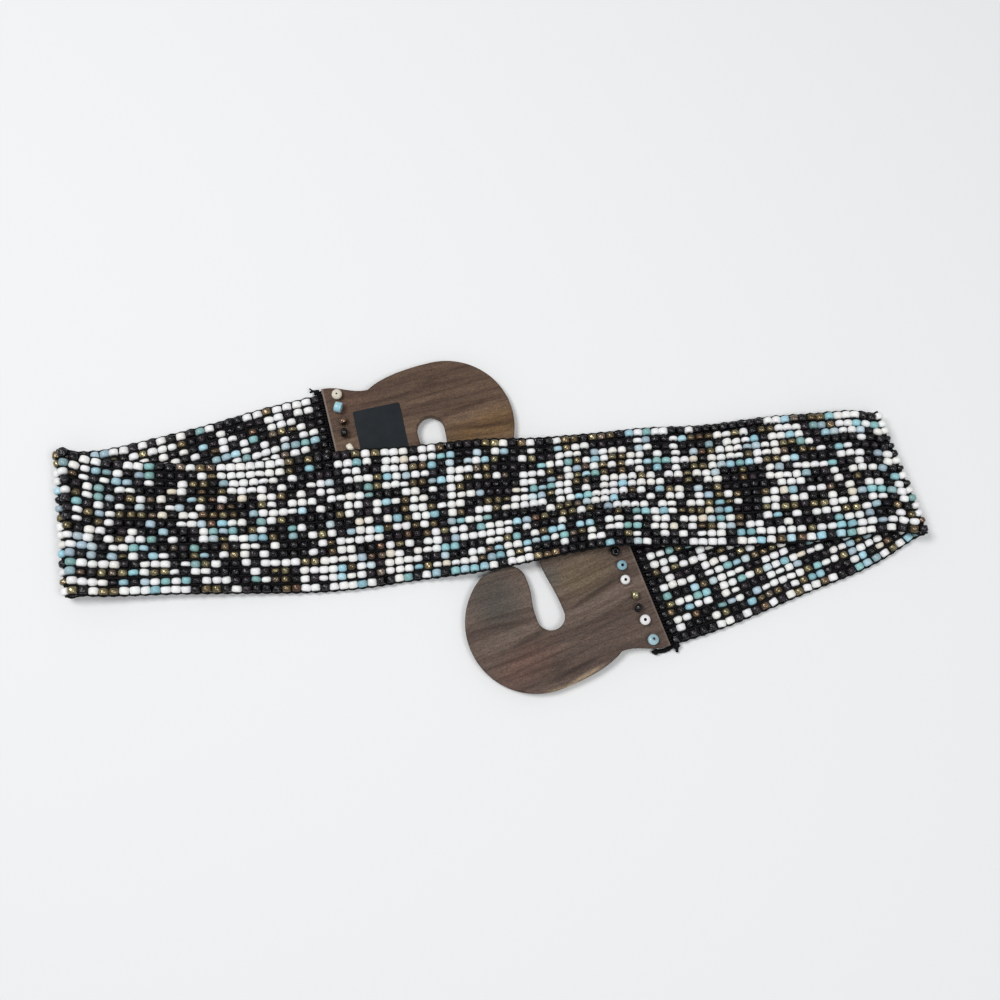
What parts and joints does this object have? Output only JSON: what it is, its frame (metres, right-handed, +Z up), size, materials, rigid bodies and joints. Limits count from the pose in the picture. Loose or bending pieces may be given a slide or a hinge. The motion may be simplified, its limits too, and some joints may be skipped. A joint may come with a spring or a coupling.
{
  "type": "beaded stretch belt with wooden hook plates, laid folded",
  "caption": "Wide stretch belt of loom-woven seed beads with a wooden hook plate on each end, lying with both tails folded back under the front.",
  "frame": {"origin": "on the surface under the middle of the belt's box, as it lies folded", "axes": "+X to the right along the front of the belt, +Y away from the viewer, +Z up"},
  "size_m": [0.3914, 0.1506, 0.0147],
  "materials": {
    "bead_black": "gloss",
    "bead_white": "gloss",
    "bead_cream": "gloss",
    "bead_turquoise": "gloss",
    "bead_gold": "metallic lined gloss",
    "plate_wood": "satin, oiled dark brown with streaks along the plate",
    "elastic_black": "matte",
    "label_dark": "satin"
  },
  "bodies": {
    "root": {"bead_band": "bead_black", "hook_plate_1": "plate_wood", "hook_plate_2": "plate_wood", "plate_label": "label_dark", "stopper_bead_1_1": "bead_cream", "stopper_bead_1_2": "bead_turquoise", "stopper_bead_1_3": "bead_gold", "stopper_bead_1_4": "bead_black", "stopper_bead_1_5": "bead_cream", "stopper_bead_1_6": "bead_black", "stopper_bead_1_7": "bead_white", "stopper_bead_1_8": "bead_turquoise", "stopper_bead_2_1": "bead_turquoise", "stopper_bead_2_2": "bead_white", "stopper_bead_2_3": "bead_black", "stopper_bead_2_4": "bead_gold", "stopper_bead_2_5": "bead_white", "stopper_bead_2_6": "bead_turquoise", "stopper_bead_2_7": "bead_black", "stopper_bead_2_8": "bead_white", "elastic_tie_1_1": "elastic_black", "elastic_tie_1_2": "elastic_black", "elastic_tie_1_3": "elastic_black", "elastic_tie_1_4": "elastic_black", "elastic_tie_1_5": "elastic_black", "elastic_tie_1_6": "elastic_black", "elastic_tie_1_7": "elastic_black", "elastic_tie_1_8": "elastic_black", "elastic_tie_2_1": "elastic_black", "elastic_tie_2_2": "elastic_black", "elastic_tie_2_3": "elastic_black", "elastic_tie_2_4": "elastic_black", "elastic_tie_2_5": "elastic_black", "elastic_tie_2_6": "elastic_black", "elastic_tie_2_7": "elastic_black", "elastic_tie_2_8": "elastic_black"}
  },
  "joints": []
}
